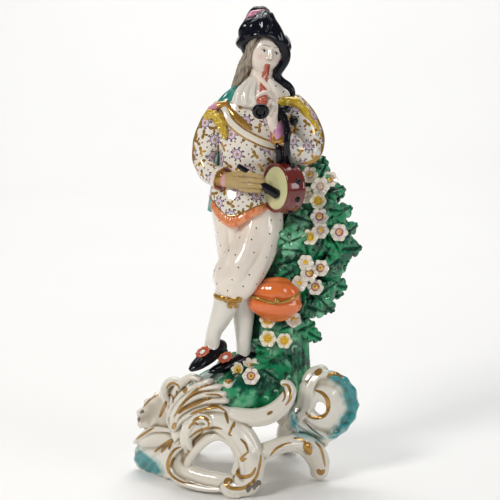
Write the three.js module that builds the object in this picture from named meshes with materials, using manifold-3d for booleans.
// A glazed porcelain figure of a pipe and tabor player. The player stands with crossed feet against a flowering
// tree stump, on a high pierced base of scrolls and shells, open underneath. The whole work is fired as one piece,
// so it is one closed solid, with the small flowers and leaves modelled with few sides.
//
// Millimetres, +Z up, the player faces -Y. The origin is at the middle of the base's footprint, on the table.

import * as THREE from "three";
import { mergeVertices } from "three/addons/utils/BufferGeometryUtils.js";
import Module from "manifold-3d";

const wasm = await Module();
wasm.setup();

// Driving dimensions
const FIGURE_HEIGHT = 283.5; // table to the top of the hat
const GROUND = 68; // the top of the base, where the player stands
const BASE_WIDTH = 138; // shell to shell
const BASE_DEPTH = 88; // front foot to back foot
const CHIP = 0.25; // edges shorter than this close up where pieces join
const SLENDER = 6; // half width below which a scroll needs only five sides

// Landmarks of the player, from the ground up
const ANKLE = GROUND + 10;
const KNEE = GROUND + 50;
const HIP = GROUND + 98;
const WAIST = GROUND + 118;
const SHOULDER = GROUND + 156;
const CHIN = GROUND + 177;
const HEAD = [12, -3.5, CHIN + 13.5];
const FRONT = [0, -1, 0];
const UP = [0, 0, 1];

// Materials: one glaze over all, in the colour that most of the surface has
const glaze = new THREE.MeshStandardMaterial({ color: 0xe9e4d8, roughness: 0.12, metalness: 0 });

const vec = (p) => new THREE.Vector3(p[0], p[1], p[2]);

// A point on the smooth line through the rows, at t from 0 to 1. Rows hold a place and then sizes.
function along(rows, t) {
  const last = rows.length - 1;
  const i = Math.min(Math.floor(t * last), last - 1);
  const f = t * last - i;
  const row = (k) => rows[Math.max(0, Math.min(last, k))];
  return rows[0].map((_, n) => {
    const [a, b, c, d] = [row(i - 1)[n], row(i)[n], row(i + 1)[n], row(i + 2)[n]];
    return 0.5 * (2 * b + (c - a) * f + (2 * a - 5 * b + 4 * c - d) * f * f + (3 * b - a - 3 * c + d) * f * f * f);
  });
}

function geometryOf(points, faces) {
  const geometry = new THREE.BufferGeometry();
  geometry.setAttribute("position", new THREE.Float32BufferAttribute(points.flatMap((p) => [p.x, p.y, p.z]), 3));
  geometry.setIndex(faces.flat());
  return geometry;
}

// A limb, garment or scroll: rows of [x, y, z, half width, half depth] swept into a closed, round-ended form.
// The half depth lies towards facing. fold(angle, t) swells or pinches the section, for drapery and flutes.
function sweep(rows, { sides = 6, steps = rows.length - 1, facing = FRONT, ends = [0.6, 0.6], fold } = {}) {
  const points = [];
  const faces = [];
  const rings = [];
  const ring = (t) => {
    const [x, y, z, a, b] = along(rows, t);
    const ahead = vec(along(rows, Math.min(1, t + 0.01)));
    const tangent = ahead.sub(vec(along(rows, Math.max(0, t - 0.01)))).normalize();
    const side = tangent.clone().cross(vec(facing)).normalize();
    const front = side.clone().cross(tangent);
    rings.push(points.length);
    for (let j = 0; j < sides; j++) {
      const angle = (2 * Math.PI * j) / sides;
      const swell = fold ? fold(angle, t) : 1;
      const point = new THREE.Vector3(x, y, z).addScaledVector(side, a * swell * Math.cos(angle));
      points.push(point.addScaledVector(front, b * swell * Math.sin(angle)));
    }
  };
  for (let i = 0; i <= steps; i++) ring(i / steps);
  for (let i = 0; i + 1 < rings.length; i++) {
    for (let j = 0; j < sides; j++) {
      const [a, b] = [rings[i] + j, rings[i] + ((j + 1) % sides)];
      const [c, d] = [rings[i + 1] + j, rings[i + 1] + ((j + 1) % sides)];
      faces.push([a, c, b], [b, c, d]);
    }
  }
  const tip = (t, reach) => {
    const [x, y, z, a, b] = along(rows, t);
    const tangent = vec(along(rows, Math.min(1, t + 0.01))).sub(vec(along(rows, Math.max(0, t - 0.01)))).normalize();
    points.push(new THREE.Vector3(x, y, z).addScaledVector(tangent, reach * Math.min(a, b)));
    return points.length - 1;
  };
  const start = tip(0, -ends[0]);
  const end = tip(1, ends[1]);
  for (let j = 0; j < sides; j++) {
    const next = (j + 1) % sides;
    faces.push([start, rings[0] + j, rings[0] + next]);
    faces.push([end, rings.at(-1) + next, rings.at(-1) + j]);
  }
  return geometryOf(points, faces);
}

// A sheet of even thickness, closed all round: at(u, v) gives its outer face, with u to the side and v up.
function sheet(at, thickness, across = 8, up = 6) {
  const points = [];
  const faces = [];
  const small = 0.01;
  const normalAt = (u, v) => {
    const [u0, u1] = [Math.max(0, u - small), Math.min(1, u + small)];
    const [v0, v1] = [Math.max(0, v - small), Math.min(1, v + small)];
    return vec(at(u1, v)).sub(vec(at(u0, v))).cross(vec(at(u, v1)).sub(vec(at(u, v0)))).normalize();
  };
  for (const inward of [0, thickness]) {
    for (let j = 0; j <= up; j++) {
      for (let i = 0; i <= across; i++) {
        const [u, v] = [i / across, j / up];
        points.push(vec(at(u, v)).addScaledVector(normalAt(u, v), -inward));
      }
    }
  }
  const back = (across + 1) * (up + 1);
  const id = (i, j) => j * (across + 1) + i;
  for (let j = 0; j < up; j++) {
    for (let i = 0; i < across; i++) {
      const [a, b, c, d] = [id(i, j), id(i + 1, j), id(i, j + 1), id(i + 1, j + 1)];
      faces.push([a, b, d], [a, d, c], [back + a, back + d, back + b], [back + a, back + c, back + d]);
    }
  }
  const wall = (a, b) => faces.push([a, back + a, back + b], [a, back + b, b]);
  for (let i = 0; i < across; i++) {
    wall(id(i, 0), id(i + 1, 0));
    wall(id(i + 1, up), id(i, up));
  }
  for (let j = 0; j < up; j++) {
    wall(id(across, j), id(across, j + 1));
    wall(id(0, j + 1), id(0, j));
  }
  return geometryOf(points, faces);
}

// A rounded lump, as of clay pressed on.
function lump(place, radii, { turn = [0, 0, 0], sides = 6, rows = 4 } = {}) {
  const geometry = new THREE.SphereGeometry(1, sides, rows).rotateX(Math.PI / 2);
  geometry.scale(...radii);
  geometry.applyMatrix4(new THREE.Matrix4().makeRotationFromEuler(new THREE.Euler(...turn)));
  return geometry.translate(...place);
}

// A round turned form about an axis, from profile rows of [radius, height].
function turned(place, axis, profile, sides = 12) {
  const points = [];
  const faces = [];
  const turn = new THREE.Quaternion().setFromUnitVectors(vec(UP), vec(axis).normalize());
  const set = (x, y, z) => points.push(new THREE.Vector3(x, y, z).applyQuaternion(turn).add(vec(place)));
  const inner = profile.slice(1, -1);
  set(0, 0, profile[0][1]);
  inner.forEach(([radius, height]) => {
    for (let j = 0; j < sides; j++) {
      const angle = (2 * Math.PI * j) / sides;
      set(radius * Math.cos(angle), radius * Math.sin(angle), height);
    }
  });
  set(0, 0, profile.at(-1)[1]);
  const id = (i, j) => 1 + i * sides + (j % sides);
  for (let j = 0; j < sides; j++) {
    faces.push([0, id(0, j + 1), id(0, j)]);
    for (let i = 0; i + 1 < inner.length; i++) {
      faces.push([id(i, j), id(i, j + 1), id(i + 1, j + 1)], [id(i, j), id(i + 1, j + 1), id(i + 1, j)]);
    }
    faces.push([points.length - 1, id(inner.length - 1, j), id(inner.length - 1, j + 1)]);
  }
  return geometryOf(points, faces);
}

// The closed solid of a geometry, for joining.
function solidOf(geometry) {
  const bare = new THREE.BufferGeometry();
  bare.setAttribute("position", geometry.getAttribute("position"));
  bare.setIndex(geometry.index);
  const merged = mergeVertices(bare, 1e-4);
  return new wasm.Manifold(
    new wasm.Mesh({
      numProp: 3,
      vertProperties: merged.attributes.position.array,
      triVerts: new Uint32Array(merged.index.array),
      tolerance: CHIP,
    }),
  );
}

const fuse = (geometries) => geometries.map(solidOf).reduce((whole, next) => whole.add(next));

// The base

function ground() {
  const dome = [
    [2, -1, GROUND - 23, 27, 25],
    [0, -2, GROUND - 17, 33, 30],
    [-1, -3, GROUND - 9, 34, 31],
    [-3, -4, GROUND - 2.5, 33, 29],
    [-4, -4, GROUND + 0.5, 28, 24],
  ];
  const rolling = (angle, t) => 1 + 0.04 * Math.sin(3 * angle + 4 * t) + 0.02 * Math.cos(7 * angle);
  return [sweep(dome, { sides: 14, steps: 4, ends: [0.05, 0.04], fold: rolling })];
}

// Scrolls of the base, each a path of [x, y, z, half width, half depth].
const SCROLLS = {
  front_arch: [
    [-34, -26.5, 25, 3, 4],
    [-32.5, -29, 36, 6, 5.5],
    [-24.5, -31.5, 44, 7.4, 6.5],
    [-13, -34, 44.5, 7.8, 7.2],
    [-3, -36, 36.5, 8.2, 7.4],
    [3, -38, 26, 8, 7.2],
    [4.2, -39, 15.5, 7.6, 6.8],
    [1.8, -40.5, 6, 7, 5.6],
    [-5, -40.5, 3.5, 5.6, 5.4],
    [-10.5, -40.5, 5, 4.2, 4.6],
  ],
  inner_band: [
    [-34, -26.5, 19, 3.6, 3.6],
    [-30, -29.5, 28, 4.6, 4.2],
    [-20.8, -32.5, 36, 4.6, 4.6],
    [-11.5, -34, 37, 4.6, 4.8],
    [-3.4, -36, 29, 4.4, 4.6],
    [-2.6, -37.5, 19, 3.6, 4.2],
  ],
  curl: [
    [-33, -32, 31, 2.2, 2.4],
    [-32.2, -34, 41, 2.7, 2.8],
    [-27, -36.4, 46.6, 2.7, 2.8],
    [-21.6, -38.4, 45.6, 2.4, 2.5],
    [-22.4, -39, 41.8, 1.8, 1.9],
  ],
  rail: [
    [-33.5, -26, 29.5, 3, 3.5],
    [-39.4, -24, 23, 5, 4.8],
    [-40.4, -23.8, 14.5, 6.2, 5.4],
    [-33, -27, 8.2, 6.4, 5.4],
    [-21, -32.5, 7.2, 5.8, 5],
    [-8, -38.5, 7.6, 5, 4.8],
  ],
  right_leg: [
    [5, -37, 25, 5, 5],
    [13, -35, 26.8, 4.8, 5],
    [23, -30.5, 29, 5, 5.2],
    [34, -24, 27.6, 6.4, 6.4],
    [41.4, -18, 20.5, 6.9, 6.8],
    [45, -13.5, 12, 6.6, 6.6],
    [45.6, -11, -1, 5.4, 5.6],
  ],
  ground_lip: [
    [-15, -32.5, 50, 3, 4],
    [-4, -35.3, 48.2, 4.8, 5],
    [9.5, -36, 47.4, 5.4, 5.2],
    [18.5, -34, 51, 5.4, 5.2],
    [25, -30.8, 57, 4.6, 4.6],
    [26.8, -29.2, 63, 3.4, 3.8],
    [22.4, -29.5, 66.4, 1.8, 2.4],
  ],
  shell_arm: [
    [27.5, -17, 36, 3.6, 4],
    [33.5, -13.2, 46, 4.5, 4.7],
    [38, -10, 55, 4.6, 4.8],
    [41, -7.5, 62, 4.6, 4.8],
    [47, -6, 67.5, 4, 4],
  ],
  shell_lip: [
    [28.6, -22.5, 45.5, 1.8, 2],
    [29, -23, 37.5, 2.7, 2.9],
    [38, -19.8, 31, 3.3, 3.2],
    [50, -13.5, 26.2, 2.2, 2.4],
  ],
  right_column: [
    [33, -12, 58, 6, 7],
    [32, -15, 46, 5, 6],
    [33, -17, 33, 5, 5],
  ],
  shell_foot: [
    [48, -12, 26, 4.5, 4],
    [41, -14, 25, 6, 5],
    [33, -18, 28.5, 6, 5],
  ],
  shell_tie: [
    [15, 5, 50, 7, 5],
    [21, 8, 39, 5.5, 4.5],
    [26, 9, 30.5, 4.5, 4],
    [34, 2, 27, 4, 4],
    [41, -9, 27, 4, 4],
  ],
  upper_leaf: [
    [-44, -13, 40, 1.8, 3],
    [-47.4, -10.5, 52, 2.6, 3.6],
    [-46.6, -9.5, 59.5, 2.9, 3.6],
    [-41, -11, 62, 2.7, 3.4],
    [-37.8, -13.5, 58, 1.8, 2.6],
  ],
  inner_leaf: [
    [-42.4, -15.5, 44, 1.8, 3.2],
    [-40.4, -16.5, 57, 2.5, 3.6],
    [-34, -17.5, 65.4, 2.6, 3.4],
    [-26.5, -21, 66.6, 1.8, 2.6],
  ],
  back_left_leg: [
    [-22, 10, 52, 8, 7],
    [-33, 22, 44, 7, 6],
    [-37, 32, 30, 6.5, 6],
    [-33, 37, 16, 6.5, 6],
    [-34, 41.4, -1, 6, 5.5],
  ],
  back_right_leg: [
    [24, 12, 50, 8, 7],
    [31, 25, 42, 7, 6],
    [31, 35, 28, 6.5, 6],
    [27, 39, 14, 6.5, 6],
    [28, 41.4, -1, 6, 5.5],
  ],
  back_tie: [
    [-35, 34, 24, 4.5, 4.5],
    [-20, 36, 33, 5, 4.5],
    [-3, 34, 39, 6, 5],
    [14, 36, 33, 5, 4.5],
    [29, 37, 24, 4.5, 4.5],
  ],
  back_apron: [
    [-26, 18, 51, 7, 5],
    [-14, 27, 45, 7, 5],
    [-2, 31, 42, 7, 5],
    [12, 29, 45, 7, 5],
    [25, 19, 51, 7, 5],
  ],
  left_tie: [
    [-62, 8, 16, 5, 5],
    [-55, 18, 26, 5, 5],
    [-44, 24, 34, 5, 5],
    [-34, 25, 40, 5, 5],
  ],
};

// Clay that backs the leaves and the foot of the ribs, and the bead where the ribs end: [place, radii].
const BOSSES = [
  [[-42.5, -6, 53], [6.5, 5.5, 9]],
  [[-38.5, -16, 32], [6, 7.5, 8]],
  [[-9.5, -31.5, 66.3], [3, 3, 3]],
];

const scrolls = () => [
  ...Object.values(SCROLLS).map((rows) => sweep(rows, { sides: rows[2][3] < SLENDER ? 5 : 6 })),
  ...BOSSES.map(([place, radii]) => lump(place, radii)),
];

// The spray of ribs on the left flank: one fluted wall through five ridges that leave one point.
const RIBS = [
  [[-43.5, -13, 33], [-43.8, -15.3, 43.7], [-37.9, -18.9, 53.8], [-28, -24.6, 63], [-20, -28, 67]],
  [[-43, -15, 33.6], [-40.7, -18.2, 45.7], [-34.2, -22.3, 54.7], [-26.4, -26.2, 60.8], [-14, -31, 64.6]],
  [[-42.5, -17, 34.2], [-38.6, -20.2, 46.2], [-31.6, -24.5, 53.8], [-23, -29, 58.7], [-11, -33, 60.6]],
  [[-42, -19, 34.5], [-36.5, -22.7, 45.6], [-29.5, -26.8, 51.5], [-21.5, -30.6, 55.4], [-10, -34.5, 56.8]],
  [[-41, -21, 34.6], [-34.3, -25.1, 43.9], [-27.4, -29, 48.7], [-19.3, -32.8, 51.8], [-9, -35.5, 51.8]],
];

function flank() {
  const flute = 2.4; // how far the valleys lie behind the ridges
  const at = (u, v) => {
    const ridges = RIBS.map((path) => along(path, v));
    const [x, y, z] = along(ridges, u);
    const valley = Math.sin(4 * Math.PI * u) ** 2 * flute;
    const proud = 4.5 * Math.sin(Math.PI * Math.min(0.85, Math.max(0.1, v))); // the ridges stand proud of their paths
    return [x + 0.3 * valley - 0.3 * proud, y + valley - 0.9 * proud, z];
  };
  return [sheet(at, 9, 8, 5)];
}

// A sheet between two edges, each running outwards, that bulges to the side in its middle, or is dished below zero.
const LOBE_FACING = [-0.62, -0.78, 0.1];

const leafBetween = (low, high, bulge) => (u, v) => {
  const [a, b] = [along(low, v), along(high, v)];
  const lift = bulge * Math.sin(Math.PI * u) * Math.sin(Math.PI * Math.min(0.9, Math.max(0.1, v)));
  return a.map((value, axis) => value * (1 - u) + b[axis] * u + LOBE_FACING[axis] * lift);
};

// A fan that spreads from its pin to a curved rim that stands on the table, below two leafy lobes.
function leftShell() {
  const pin = [-43, -15, 28.5];
  const flutes = 4;
  const rim = [
    [-40, -19, -1],
    [-48, -10.5, -2],
    [-56, -2, -2],
    [-62.5, 5, -1.5],
    [-68, 9, 1.5],
    [-69.2, 9.5, 8.5],
    [-67.4, 5.5, 16.5],
  ];
  const fan = (u, v) => {
    const edge = along(rim, u);
    const share = 0.12 + 0.88 * v;
    const lift = 2 * Math.sin(Math.PI * v) + 0.5 * v * Math.cos(2 * Math.PI * flutes * u);
    return pin.map((value, axis) => value + (edge[axis] - value) * share + LOBE_FACING[axis] * lift);
  };
  const upper_lobe = [
    [[-43.5, -13, 32], [-54.6, -7, 32.2], [-62, -2.5, 30.5], [-66.4, 1, 31.6]],
    [[-43.5, -13, 41], [-51.5, -8, 52.6], [-60.8, -3, 45.4], [-66.6, 1, 34.8]],
  ];
  const lower_lobe = [
    [[-43.5, -14, 23], [-52, -8, 19.4], [-60, -2, 17.6], [-67.4, 3, 18.6]],
    [[-43.5, -14, 33], [-54.6, -8, 32.4], [-62, -3, 27], [-67.8, 2.5, 20.6]],
  ];
  return [
    sheet(fan, 4.5, 2 * flutes, 3),
    sheet(leafBetween(...upper_lobe, -3.2), 4, 4, 3),
    sheet(leafBetween(...lower_lobe, 2.6), 4, 4, 3),
  ];
}

// The dished shell on the right: a sheet from the edge of a round hole to a rim that is drawn anticlockwise.
function rightShell() {
  const centre = vec([43.8, -11.5, 46.4]);
  const hole = 5.4;
  const sides = 20;
  const rim = [
    [69.2, -6, 46],
    [67.6, -6.5, 55],
    [63, -7.5, 62.5],
    [57, -8.5, 67],
    [49, -9.5, 69.4],
    [42.4, -11, 68.4],
    [38.4, -13, 64],
    [36.4, -15, 58.5],
    [35.8, -16.5, 52.4],
    [33.8, -18.5, 47],
    [30.4, -20.5, 44.4],
    [28.4, -22, 41],
    [30.6, -21.5, 36.4],
    [36, -20, 32.2],
    [43, -17, 28.6],
    [50, -13, 25],
    [57, -10, 27.2],
    [63, -8, 32],
    [67.4, -6.5, 38.4],
    [69.2, -6, 46],
  ];
  const section = [
    [0, -3],
    [0.5, -5],
    [1, -2.8],
    [1, 1.6],
    [0.5, -0.6],
    [0, 1.4],
  ]; // the share of the way from the hole to the rim, and the height to the front
  const axis = vec([0.16, -0.95, 0.2]).normalize();
  const sideways = vec(UP).cross(axis).normalize();
  const upwards = axis.clone().cross(sideways);
  const points = [];
  const faces = [];
  for (let j = 0; j < sides; j++) {
    const angle = (2 * Math.PI * j) / sides;
    const edge = vec(along(rim, j / sides));
    const start = centre.clone().addScaledVector(sideways, hole * Math.cos(angle));
    start.addScaledVector(upwards, hole * Math.sin(angle));
    const flute = edge.x > 50 ? 0.5 * (-1) ** j : 0;
    section.forEach(([share, height]) => {
      points.push(start.clone().lerp(edge, share).addScaledVector(axis, height + flute * share));
    });
  }
  const count = section.length;
  for (let j = 0; j < sides; j++) {
    for (let i = 0; i < count; i++) {
      const next = (i + 1) % count;
      const [a, b] = [j * count + i, j * count + next];
      const [c, d] = [((j + 1) % sides) * count + i, ((j + 1) % sides) * count + next];
      faces.push([a, d, b], [a, c, d]);
    }
  }
  return [geometryOf(points, faces)];
}

// The stump and the leaves

const STUMP = [
  [23, 3, GROUND - 12, 20, 17],
  [21.5, 2, GROUND + 2, 17.5, 14],
  [21.2, 2, GROUND + 22, 17.3, 12],
  [23.5, 2, GROUND + 46, 18, 10],
  [32, 2, GROUND + 68, 17, 9],
  [38, 1, GROUND + 88, 14, 8],
  [41, 1, GROUND + 104, 10, 7],
  [36, 2, GROUND + 118, 11, 7],
  [31, 4, GROUND + 124, 7, 6],
];

// Clumps of foliage along the edge of the stump: [x, y, z, half width, half depth, half height]
const CLUMPS = [
  [44, 0, 183, 9, 8, 7.5],
  [48, 0, 170, 8, 8, 8],
  [52.5, 0, 156, 9, 8, 9],
  [57, 1, 142, 10, 7, 9],
  [51, 0, 128, 9.5, 8, 8],
  [47.5, 0, 116, 9, 8, 8.5],
  [37, 1, 105, 9, 9, 7],
  [27, -5, 147, 7, 7, 11],
  [23, 9, 158, 10, 7, 16],
];

// [x, y, z, length, width, lean from the x axis in degrees]
const LEAVES = [
  [45.5, -7, 186, 12, 11, 60],
  [45.5, -7, 170.5, 12, 12, 10],
  [60.4, -5, 140, 13, 12, -10],
  [34, -8, 94, 12, 11, 20],
  [12, -22, 71, 11, 9, -20],
];

// [x, y, z, radius] of each flower in front and at the back
const FLOWERS = [
  [38.5, -12, 186, 4.6],
  [44.5, -13, 180, 5],
  [36, -14, 174.5, 4.8],
  [43.5, -13, 171, 4.4],
  [44, -13, 161.5, 4.8],
  [44.5, -14, 153.5, 4.8],
  [55.5, -9, 152.5, 5],
  [39, -13, 149.5, 4.6],
  [36.5, -12, 134, 4.6],
  [46, -10, 130, 4.8],
  [32.5, -13, 121.5, 4.6],
  [43, -12, 118.5, 4.6],
  [14.5, -14, 99, 4.5],
  [29, -12, 99.5, 4.5],
  [14.5, -15, 89, 4.5],
  [23, -14, 88, 4.4],
  [-3, -26, 72.5, 4],
  [4, -27, 71, 4.6],
  [33, 11, 165, 4.8],
  [42, 11, 136, 4.8],
  [26, 14, 122, 4.6],
];

function leaf([x, y, z, length, width, lean]) {
  const angle = THREE.MathUtils.degToRad(lean);
  const out = [Math.cos(angle), 0, Math.sin(angle)];
  const bow = y < 5 ? -3 : 3;
  const at = (share, half) => [
    x + out[0] * length * (share - 0.35),
    y + bow * Math.sin(Math.PI * share),
    z + out[2] * length * (share - 0.35),
    half,
    1.6,
  ];
  const rows = [at(0, width * 0.18), at(0.25, width * 0.42), at(0.5, width * 0.5), at(0.75, width * 0.44), at(1, width * 0.16)];
  return sweep(rows, { sides: 4, steps: 3 });
}

function flower([x, y, z, radius]) {
  const outward = y < 5 ? [0.25 * Math.sin(x + z), -1, 0.35 + 0.2 * Math.cos(x - z)] : [0.1, 1, 0.25];
  const cup = [
    [0, -11],
    [radius, 0],
    [0, 0.8],
  ];
  return turned([x, y, z], outward, cup, 5);
}

function stump() {
  const bark = (angle, t) => 1 + 0.06 * Math.sin(4 * angle + 5 * t) + 0.03 * Math.cos(9 * angle - 7 * t);
  return [
    sweep(STUMP, { sides: 10, steps: 7, fold: bark }),
    lump([38.5, 1, GROUND + 23], [5, 6, 5.5]),
    ...CLUMPS.map(([x, y, z, ...radii]) => lump([x, y, z], radii, { sides: 5 })),
    ...LEAVES.map(leaf),
    ...FLOWERS.map(flower),
  ];
}

// The player

const drape = (folds, depth, phase = 0) => (angle, t) =>
  1 + depth * Math.sin(Math.PI * Math.min(1, 1.2 * t)) * Math.cos(folds * angle + phase + 2 * t);

function legs() {
  const front_breech = [
    [9.5, -3, HIP, 13, 13.4],
    [8, -5, HIP - 13, 14.2, 13.8],
    [3.5, -8.5, HIP - 25, 14, 13],
    [-1.5, -11.5, KNEE + 14, 14.3, 12.5],
    [-5.6, -12.8, KNEE + 6, 14, 11.6],
    [-8.6, -13.5, KNEE, 10.8, 9.4],
    [-10.4, -13.5, KNEE - 3, 7.4, 7],
  ];
  const back_breech = [
    [-8.5, -0.5, HIP, 11.3, 12.8],
    [-7, -1.5, HIP - 14, 10.5, 12],
    [-5.5, -2.5, HIP - 25, 10.3, 11.5],
    [-3, -3.5, KNEE + 13, 10, 11],
    [0, -5, KNEE + 5, 8.5, 9],
    [1, -6, KNEE - 2.5, 6.5, 6.5],
  ];
  const front_stocking = [
    [-10.5, -13, KNEE, 7, 6.8],
    [-11.5, -13, KNEE - 9, 7.3, 7],
    [-14.5, -12.5, KNEE - 17, 6.2, 6.4],
    [-18, -12, KNEE - 25, 4.6, 4.8],
    [-19.5, -12.5, ANKLE + 7, 4.5, 4.6],
    [-20.5, -14, ANKLE + 2.5, 4.6, 4.8],
  ];
  const back_stocking = [
    [0, -6, KNEE, 6.6, 6.6],
    [-0.5, -5, KNEE - 9, 6.9, 7],
    [-0.5, -5, KNEE - 18, 6.4, 6.5],
    [-0.5, -5, KNEE - 27, 5.2, 5.5],
    [-0.5, -6, ANKLE + 5, 4.4, 5],
    [-1, -7, ANKLE - 2.5, 4.2, 5],
  ];
  return [
    sweep(front_breech, { sides: 9, fold: drape(4, 0.04) }),
    sweep(back_breech, { sides: 8, fold: drape(4, 0.04, 1) }),
    sweep(front_stocking, { sides: 7 }),
    sweep(back_stocking, { sides: 7, steps: 4 }),
  ];
}

function shoes() {
  const front_shoe = [
    [-13.5, -7, ANKLE + 5, 3.6, 4],
    [-16, -9.5, ANKLE + 4.5, 4.4, 5],
    [-22, -16, ANKLE + 1, 4.7, 5],
    [-27.5, -22, ANKLE - 2, 4.7, 3.6],
    [-31.5, -25.5, ANKLE - 4, 3.4, 2.6],
  ];
  const back_shoe = [
    [4, -5, ANKLE - 3.5, 3.6, 4],
    [0.5, -7.5, ANKLE - 3, 4.4, 5],
    [-7.5, -12, ANKLE - 4.5, 4.7, 4.6],
    [-15, -16.5, ANKLE - 6, 4.7, 3.4],
    [-20.5, -19.5, ANKLE - 6.8, 3.6, 2.4],
  ];
  return [
    sweep(front_shoe, { sides: 7, steps: 4, facing: UP }),
    sweep(back_shoe, { sides: 7, steps: 4, facing: UP }),
    lump([-12.5, -6.5, ANKLE + 0.5], [2.6, 2.6, 4]),
    turned([-22, -19, ANKLE + 5.5], [-0.4, -0.7, 0.6], [[0, -4], [3.4, 0], [0, 1.4]], 7),
    turned([-9.5, -16.5, ANKLE + 0.5], [-0.4, -0.75, 0.6], [[0, -4], [3.2, 0], [0, 1.4]], 7),
  ];
}

function coat() {
  const body = [
    [0, -1.5, HIP - 1, 20.4, 18],
    [0.5, -2, HIP + 5, 20.2, 16.4],
    [1.5, -2, HIP + 14, 18, 13.5],
    [2.5, -2, WAIST + 4, 17, 12.5],
    [4, -2, WAIST + 17, 20, 13.5],
    [5.5, -1, SHOULDER - 9, 23, 12.5],
    [6.5, 0, SHOULDER + 1, 21.5, 9.5],
    [8, 1, SHOULDER + 7, 11, 7.5],
  ];
  const waistband = [
    [0, -1.5, HIP - 9, 19, 17],
    [0, -1.5, HIP - 6, 20.3, 18.5],
    [0, -1.5, HIP, 19.6, 17],
  ];
  const left_sleeve = [
    [-12.5, 0, SHOULDER, 7, 7.2],
    [-17, 0, SHOULDER - 7, 8.4, 8.6],
    [-21.5, 0, SHOULDER - 18, 8.4, 8.6],
    [-24, 0, SHOULDER - 28, 6.8, 8],
    [-21, -6, SHOULDER - 35.5, 6.4, 7],
    [-15, -12, SHOULDER - 38, 6.2, 6.6],
  ];
  const right_sleeve = [
    [27, -1, SHOULDER + 2, 8.4, 9],
    [33.3, -2, SHOULDER - 6, 9.2, 9.4],
    [37.3, -4, SHOULDER - 17, 9.4, 9],
    [35.5, -8, SHOULDER - 23.5, 8.4, 8.4],
    [28, -14, SHOULDER - 20, 7.4, 7.2],
    [21, -19, SHOULDER - 14, 6.4, 6],
  ];
  return [
    sweep(body, { sides: 11, ends: [0.05, 0.3] }),
    sweep(waistband, { sides: 10, ends: [0.05, 0.05] }),
    sweep(left_sleeve, { sides: 7, facing: [0, -1, 0.2] }),
    sweep(right_sleeve, { sides: 7, facing: [0.2, -1, 0.4] }),
  ];
}

// The two loops of the ribbon on the left shoulder, and the golden yoke on the right one.
const knots = () => [
  lump([-18.5, -8.2, SHOULDER - 3.5], [5, 3.4, 4]),
  lump([-13.5, -9.8, SHOULDER - 10], [3.8, 3.2, 4.6]),
  lump([27, -7, SHOULDER + 4.5], [7, 3.4, 4]),
];

function hands() {
  const left_palm = [
    [-15, -12.5, SHOULDER - 38.8, 4.8, 5.2],
    [-7, -16.5, SHOULDER - 39.3, 4.6, 5.2],
    [1, -20, SHOULDER - 39.6, 4.6, 5],
    [7, -22, SHOULDER - 39.8, 5, 4.6],
  ];
  const right_palm = [
    [20, -20, SHOULDER - 11.5, 3.2, 3.2],
    [17, -23, SHOULDER - 3, 3, 3],
    [15.5, -26, SHOULDER + 5, 3.4, 2.8],
    [14.5, -28, SHOULDER + 11, 3, 2.4],
  ];
  const index = [
    [14.5, -28, SHOULDER + 11, 1.7, 1.7],
    [12, -31, SHOULDER + 17, 1.5, 1.5],
    [8.5, -31, SHOULDER + 21, 1.2, 1.2],
    [6, -30, SHOULDER + 23, 0.8, 0.8],
  ];
  const middle = [
    [15, -29, SHOULDER + 9, 1.7, 1.7],
    [12.5, -33, SHOULDER + 12.5, 1.5, 1.5],
    [9.5, -36, SHOULDER + 12, 1.3, 1.3],
    [7, -36, SHOULDER + 10.5, 0.9, 0.9],
  ];
  return [
    sweep(left_palm, { facing: UP }),
    sweep(right_palm),
    sweep(index, { sides: 5 }),
    sweep(middle, { sides: 5 }),
    lump([9.5, -22, SHOULDER - 39], [4.4, 3.6, 5]),
  ];
}

function tabor() {
  const face = [18, -23, SHOULDER - 43];
  const out = [-0.84, -0.53, 0.05];
  const [radius, depth] = [14.6, 11.5];
  const barrel = [
    [0, -depth],
    [radius - 0.6, -depth],
    [radius + 0.8, -depth / 2],
    [radius, 0.3],
    [radius - 2, -0.4],
    [0, -0.6],
  ];
  const stick = [
    [-4, -24, SHOULDER - 29.5, 1.5, 1.5],
    [3, -24, SHOULDER - 34.5, 1.6, 1.6],
    [10, -25, SHOULDER - 40, 2, 2],
    [14, -25.5, SHOULDER - 43, 2.8, 2.8],
    [18, -25.5, SHOULDER - 45.5, 2.6, 2.6],
  ];
  const strap_front = [
    [20.5, -18, SHOULDER + 2, 2.2, 1.6],
    [24, -22.5, SHOULDER - 6, 2.2, 1.6],
    [26.5, -25, SHOULDER - 14, 2.2, 1.8],
    [26, -24, SHOULDER - 22, 2.2, 1.8],
    [25, -18, SHOULDER - 30, 2.2, 1.8],
  ];
  const strap_back = [
    [20.5, -18, SHOULDER - 1, 2, 1.5],
    [21, -25, SHOULDER - 12, 2, 1.6],
    [21.4, -24.5, SHOULDER - 21, 2, 1.6],
    [21.5, -17, SHOULDER - 30, 2, 1.6],
  ];
  return [
    turned(face, out, barrel),
    sweep(stick, { sides: 5 }),
    sweep(strap_front, { sides: 4 }),
    sweep(strap_back, { sides: 4 }),
    lump([20.5, -17, SHOULDER + 2], [4, 3.4, 3]),
    lump([29, -12.5, SHOULDER - 4.5], [3.4, 5, 3.2]),
  ];
}

function pipe() {
  const tube = [
    [11.5, -12, CHIN + 6, 1.8, 1.8],
    [11.5, -24, CHIN - 1.5, 2, 2],
    [10.7, -32, CHIN - 9, 2.5, 2.5],
    [9.6, -38, CHIN - 16, 3.2, 3.2],
  ];
  return [
    sweep(tube),
    turned([9.3, -40, CHIN - 18.5], [-0.05, -0.85, -0.5], [[0, -3], [3.5, -2.6], [4.9, 0], [3.8, 1.8], [0, 1.2]], 10),
  ];
}

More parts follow.
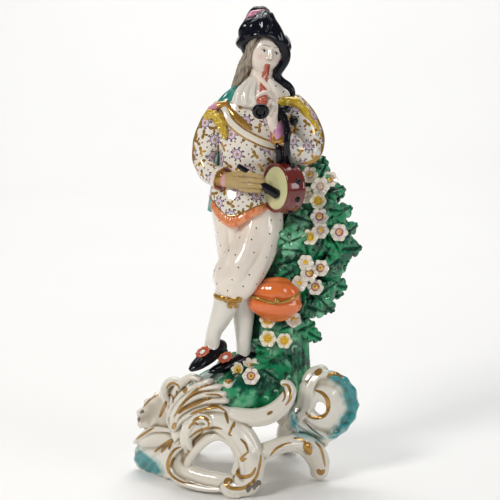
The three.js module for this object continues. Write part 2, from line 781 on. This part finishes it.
function head() {
  const neck = [
    [8, 0, SHOULDER + 4, 9, 8],
    [8.5, -1.5, SHOULDER + 12, 7.5, 7],
    [11, -2, CHIN + 5, 6.6, 6.6],
  ];
  const skull = [
    [HEAD[0] - 0.4, HEAD[1] - 1.5, CHIN + 2, 4.6, 5],
    [HEAD[0] - 0.4, HEAD[1] - 0.5, CHIN + 7, 8.2, 8.6],
    [HEAD[0], HEAD[1], CHIN + 13, 9.8, 10.2],
    [HEAD[0] + 0.3, HEAD[1] + 1, CHIN + 20, 9.6, 10.4],
    [HEAD[0] + 0.5, HEAD[1] + 2, CHIN + 25, 6, 7],
  ];
  return [
    sweep(neck, { sides: 8, steps: 2 }),
    sweep(skull, { sides: 10 }),
    lump([HEAD[0] + 3.2, HEAD[1] - 10, HEAD[2] - 2.6], [1.3, 1.8, 2.6], { turn: [-0.3, 0.2, 0] }),
  ];
}

function hair() {
  const lock = [
    [2.5, -6, HEAD[2] + 5, 3.2, 3.8],
    [2.6, -5, HEAD[2] - 2, 3.5, 4.2],
    [0, -2, HEAD[2] - 9, 3.9, 4.3],
    [-2.5, 0, HEAD[2] - 16, 3.7, 3.8],
    [-5.5, 0, HEAD[2] - 23, 2.8, 2.8],
  ];
  const queue = [
    [11, 5, HEAD[2] + 4, 9, 6],
    [9, 7, HEAD[2] - 8, 8.5, 5.5],
    [8, 8, HEAD[2] - 20, 6.5, 4.5],
    [7, 9.5, HEAD[2] - 32, 4, 3],
  ];
  return [
    sweep(lock),
    sweep(queue),
  ];
}

function hat() {
  const top = FIGURE_HEIGHT;
  const crown = [
    [10.5, 1.5, top - 18.5, 13, 11],
    [9.5, -0.5, top - 14.5, 12.5, 11.5],
    [9, 0, top - 9.5, 9.6, 9],
    [9.5, 0.5, top - 5, 7.8, 7.4],
    [11, 1, top - 1.8, 5.4, 5.4],
  ];
  const brim = [
    [0.5, -4, top - 27, 3, 3],
    [-0.5, -7, top - 20, 4.2, 4.2],
    [3, -11.5, top - 15.5, 4.6, 4.4],
    [11, -13.5, top - 14, 4.6, 4.4],
    [18.5, -11, top - 16, 4.6, 4.2],
    [23, -6.5, top - 20, 4.4, 3.8],
    [24.2, -4.5, top - 26.5, 4.2, 3.4],
    [22.4, -4, top - 33, 3.9, 3.2],
    [20, -3, top - 38.5, 2.9, 3],
    [20.5, -3, top - 42, 2.6, 2.8],
    [24, -3, top - 45, 2.6, 2.8],
    [27, -3, top - 48.5, 2.5, 2.8],
    [28.8, -2.5, top - 54, 1.9, 2.4],
  ];
  const back_brim = [
    [-1, -5, top - 20, 4, 4],
    [1, 7, top - 19, 4.6, 4],
    [11, 12, top - 17, 4.8, 4],
    [21, 7, top - 19, 4.6, 4],
    [25, -4, top - 22, 4, 4],
  ];
  return [
    sweep(crown, { sides: 10 }),
    sweep(brim, { sides: 5 }),
    sweep(back_brim),
    lump([13.5, -1, top - 2.5], [3.4, 3, 2.5]),
    lump([14, 4.5, top - 18.5], [9.5, 6, 5]),
  ];
}

function linen() {
  const jabot = [
    [3.5, -7.5, CHIN - 4, 4, 3],
    [0.5, -10.5, CHIN - 11, 5.6, 3.6],
    [-0.5, -12.5, CHIN - 17, 6.6, 3.8],
    [0.5, -14, CHIN - 23, 6, 3.2],
  ];
  const collar = [
    [14, -5, CHIN - 5, 3.6, 3],
    [18.5, -7, CHIN - 11, 4.6, 3],
    [22.5, -7, CHIN - 15.5, 4.2, 3],
  ];
  return [sweep(jabot), sweep(collar)];
}

function cloak() {
  const at = (u, v) => {
    const across = u - 0.5;
    const width = 44 - 6 * v;
    const fold = 1.2 * (1 - v) * Math.cos(7 * Math.PI * u);
    return [8 - width * across, 14 - 34 * across * across + fold - 3 * v, HIP - 2 + (SHOULDER - HIP + 8) * v];
  };
  const shoulder_fold = [
    [-14, -2, SHOULDER + 1, 4, 4],
    [-9, -2, SHOULDER + 7.5, 4, 4],
    [-5, -1, SHOULDER + 13, 2.5, 3],
  ];
  return [sheet(at, 5, 6, 3), sweep(shoulder_fold)];
}

function purse() {
  const bag = [
    [18.5, -12, KNEE - 15, 8, 5],
    [18.5, -13, KNEE - 10.5, 14, 7.5],
    [18.5, -13.5, KNEE - 4.5, 15.8, 8],
    [19, -13, KNEE + 1.5, 12.5, 7],
    [19, -12, KNEE + 5, 8, 5],
  ];
  return [sweep(bag, { sides: 9 })];
}

// The feet are cut off flat at the table, and the whole is set over the origin.
const clay = fuse([
  ...ground(),
  ...scrolls(),
  ...flank(),
  ...leftShell(),
  ...rightShell(),
  ...stump(),
  ...legs(),
  ...shoes(),
  ...coat(),
  ...knots(),
  ...hands(),
  ...tabor(),
  ...pipe(),
  ...head(),
  ...hair(),
  ...hat(),
  ...linen(),
  ...cloak(),
  ...purse(),
]);
const CUT = 40; // more than the feet reach below the table
const table = new THREE.BoxGeometry(3 * BASE_WIDTH, 3 * BASE_DEPTH, CUT).translate(0, 0, -CUT / 2);
const standing = clay.subtract(solidOf(table));

function meshOf(solid, name) {
  const { numProp, vertProperties, triVerts } = solid.getMesh();
  const geometry = new THREE.BufferGeometry();
  const places = new Float32Array((vertProperties.length / numProp) * 3);
  for (let i = 0; i < places.length / 3; i++) {
    places.set(vertProperties.subarray(i * numProp, i * numProp + 3), 3 * i);
  }
  geometry.setAttribute("position", new THREE.BufferAttribute(places, 3));
  geometry.setIndex(new THREE.BufferAttribute(triVerts, 1));
  geometry.computeVertexNormals();
  const mesh = new THREE.Mesh(geometry, glaze);
  mesh.name = name;
  return mesh;
}

const figure = new THREE.Group();
figure.add(meshOf(standing, "porcelain_figure"));

export default figure;
